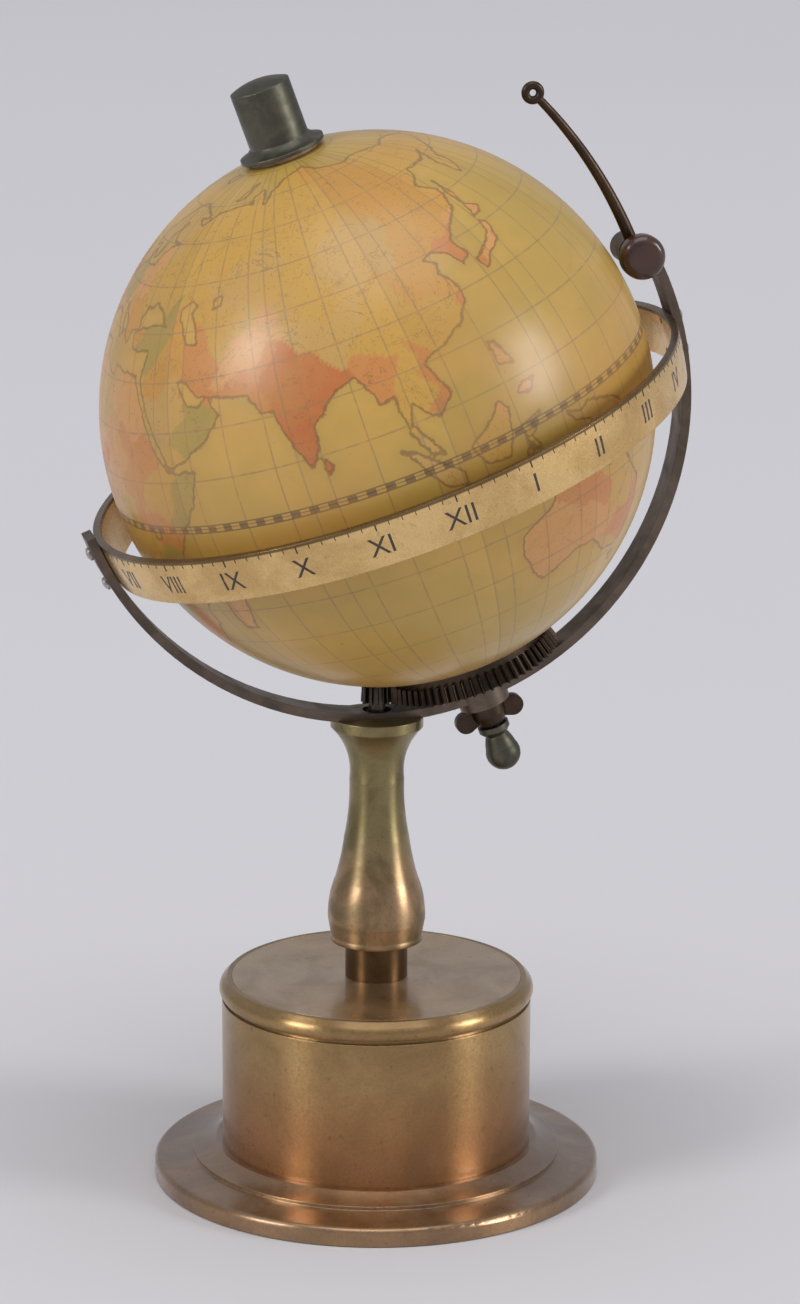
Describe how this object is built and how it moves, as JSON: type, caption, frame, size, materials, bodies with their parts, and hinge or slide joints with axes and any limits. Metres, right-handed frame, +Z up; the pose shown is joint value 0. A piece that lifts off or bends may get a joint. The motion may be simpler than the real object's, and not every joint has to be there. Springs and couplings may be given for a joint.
{
  "type": "globe clock",
  "caption": "Desk globe clock: a globe turning inside a fixed hour ring on a leaning spindle, carried by a half-meridian arm on a tapered column over a round drum that holds the movement.",
  "frame": {"origin": "centre of the flat underside of the foot", "axes": "+Z up along the column; the polar axis leans toward -X; the index arm's knob faces -Y"},
  "size_m": [0.1416, 0.1416, 0.2606],
  "materials": {
    "brass": "lacquered brass, aged",
    "copper_brass": "warm red-brown brass, lacquered and worn",
    "olive_brass": "dull olive brass",
    "dark_bronze": "blackened bronze",
    "arm_bronze": "dark brown patinated brass",
    "ring_brass": "light brass, satin",
    "steel": "polished steel",
    "blued_steel": "blued steel",
    "globe_paper": "printed paper over a plaster shell, varnished and yellowed",
    "maroon": "dark maroon lacquer",
    "wood": "turned beech"
  },
  "bodies": {
    "base": {"base_flange": "copper_brass", "bottom_cover": "brass", "cover_screws": "steel", "drum_case": "copper_brass", "drum_bezel": "copper_brass", "drum_top_plate": "brass", "movement_screws": "steel", "lower_plate": "brass", "upper_plate": "brass", "plate_pillars": "brass", "plate_screws": "blued_steel", "under_plate_screws": "blued_steel", "click_spring": "steel", "balance_cock": "brass", "balance_spring": "blued_steel", "column_nut": "brass", "column_collar": "dark_bronze", "column": "olive_brass", "column_bushes": "brass", "saddle_screws": "steel", "meridian_arm": "arm_bronze", "hour_ring": "ring_brass", "ring_screws": "steel", "polar_spindle": "steel", "thrust_washer": "brass", "south_finial": "dark_bronze", "north_cap": "dark_bronze", "index_stud": "steel"},
    "globe": {"globe_north": "globe_paper", "globe_south": "globe_paper", "equator_hoop": "wood", "north_hub": "wood", "south_hub": "wood", "crown_ring": "brass", "crown_ring_screws": "steel"},
    "drive_line": {"drive_shaft": "steel", "crown_pinion": "steel", "motion_wheel": "brass"},
    "cannon": {"cannon_pinion": "steel"},
    "centre_line": {"centre_arbor": "steel", "centre_wheel": "brass"},
    "third_line": {"third_arbor": "steel", "third_wheel": "brass"},
    "fourth_line": {"fourth_arbor": "steel", "fourth_wheel": "brass"},
    "escape_line": {"escape_arbor": "steel", "escape_wheel": "brass"},
    "going_barrel": {"barrel": "brass", "barrel_cap": "brass", "mainspring": "blued_steel"},
    "winding": {"barrel_arbor": "steel", "ratchet_wheel": "steel"},
    "click_lever": {"click": "steel"},
    "pallets": {"pallet_lever": "steel"},
    "balance": {"balance_wheel": "brass", "balance_staff": "steel"},
    "regulator": {"regulator_lever": "steel"},
    "index": {"index_arm": "arm_bronze"},
    "knob": {"index_knob": "maroon"},
    "wing": {"wing_nut": "dark_bronze"}
  },
  "joints": [
    {"name": "globe_spin", "type": "hinge", "parent": "base", "child": "globe", "pos_m": [0, 0, 0.1835], "axis": [-0.342, 0, 0.9397], "continuous": true},
    {"name": "drive_spin", "type": "hinge", "parent": "base", "child": "drive_line", "pos_m": [0, 0, 0.06], "axis": [0, 0, 1], "continuous": true},
    {"name": "cannon_spin", "type": "hinge", "parent": "base", "child": "cannon", "pos_m": [0.00915, 0.01188, 0.04], "axis": [0, 0, 1], "continuous": true},
    {"name": "fourth_spin", "type": "hinge", "parent": "base", "child": "fourth_line", "pos_m": [0.013, -0.01003, 0.03], "axis": [0, 0, 1], "continuous": true},
    {"name": "third_spin", "type": "hinge", "parent": "base", "child": "third_line", "pos_m": [0.01648, 0.00043, 0.025], "axis": [0, 0, 1], "continuous": true},
    {"name": "centre_spin", "type": "hinge", "parent": "base", "child": "centre_line", "pos_m": [0.00915, 0.01188, 0.025], "axis": [0, 0, 1], "continuous": true},
    {"name": "barrel_spin", "type": "hinge", "parent": "base", "child": "going_barrel", "pos_m": [-0.01101, 0.006, 0.018], "axis": [0, 0, 1], "continuous": true},
    {"name": "escape_spin", "type": "hinge", "parent": "base", "child": "escape_line", "pos_m": [0.00451, -0.01513, 0.02], "axis": [0, 0, 1], "continuous": true},
    {"name": "winding_turn", "type": "hinge", "parent": "base", "child": "winding", "pos_m": [-0.01101, 0.006, 0.01], "axis": [0, 0, 1], "continuous": true},
    {"name": "click_lift", "type": "hinge", "parent": "base", "child": "click_lever", "pos_m": [-0.01429, -0.00302, 0.0085], "axis": [0, 0, 1], "range_deg": [-25, 0], "stiffness_Nm_per_rad": 0.002},
    {"name": "pallet_rock", "type": "hinge", "parent": "base", "child": "pallets", "pos_m": [-0.00067, -0.01553, 0.02], "axis": [0, 0, 1], "range_deg": [-5, 5]},
    {"name": "balance_swing", "type": "hinge", "parent": "base", "child": "balance", "pos_m": [-0.00847, -0.01793, 0.025], "axis": [0, 0, 1], "range_deg": [-270, 270], "stiffness_Nm_per_rad": 0.000012},
    {"name": "regulator_shift", "type": "hinge", "parent": "base", "child": "regulator", "pos_m": [-0.00847, -0.01793, 0.033], "axis": [0, 0, 1], "range_deg": [-20, 20]},
    {"name": "index_swing", "type": "hinge", "parent": "base", "child": "index", "pos_m": [0.05899, 0, 0.21852], "axis": [0, 1, 0], "range_deg": [-15, 60]},
    {"name": "knob_turn", "type": "hinge", "parent": "base", "child": "knob", "pos_m": [0.05899, 0, 0.21852], "axis": [0, -1, 0], "range_deg": [-180, 180]},
    {"name": "wing_turn", "type": "hinge", "parent": "base", "child": "wing", "pos_m": [0.02668, 0, 0.1102], "axis": [0.342, 0, -0.9397], "range_deg": [-180, 180]}
  ],
  "couplings": [
    {"joint": "drive_spin", "follows": "globe_spin", "ratio": -6},
    {"joint": "cannon_spin", "follows": "globe_spin", "ratio": 24},
    {"joint": "third_spin", "follows": "fourth_spin", "ratio": -0.125},
    {"joint": "centre_spin", "follows": "fourth_spin", "ratio": 0.016667},
    {"joint": "barrel_spin", "follows": "fourth_spin", "ratio": -0.0027778},
    {"joint": "escape_spin", "follows": "fourth_spin", "ratio": -10}
  ]
}
